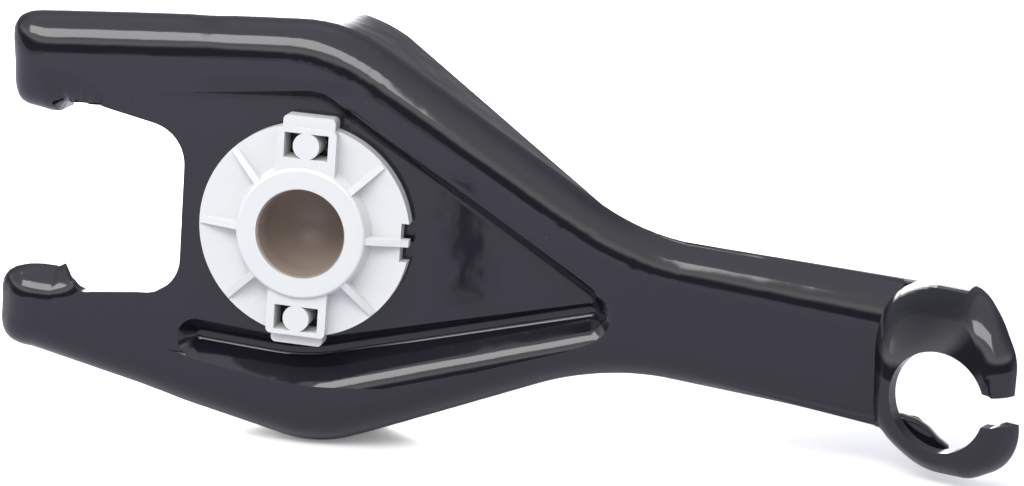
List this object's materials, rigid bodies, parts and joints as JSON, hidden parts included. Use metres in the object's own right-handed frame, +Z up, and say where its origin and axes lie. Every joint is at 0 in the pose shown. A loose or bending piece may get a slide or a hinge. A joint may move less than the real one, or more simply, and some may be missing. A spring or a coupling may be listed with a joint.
{
  "type": "clutch fork",
  "caption": "Pressed-steel clutch release fork: two hooked arms, a ribbed body with a plastic ball bush, and a lever that ends in a slotted cable eye.",
  "frame": {"origin": "on the axis of the pivot bush, in the front plane of the panel it sits on", "axes": "+X along the lever to the cable eye, -Y the side the pivot ball comes from, +Z up as the fork stands on its heel and its eye"},
  "size_m": [0.2547, 0.0397, 0.1059],
  "materials": {
    "black_paint": "gloss black dip paint over pressed steel",
    "white_plastic": "white moulded plastic, satin",
    "seat_plastic": "taupe moulded plastic, smooth"
  },
  "bodies": {
    "root": {"fork": "black_paint", "pivot_bush": "white_plastic", "ball_seat": "seat_plastic"}
  },
  "joints": []
}
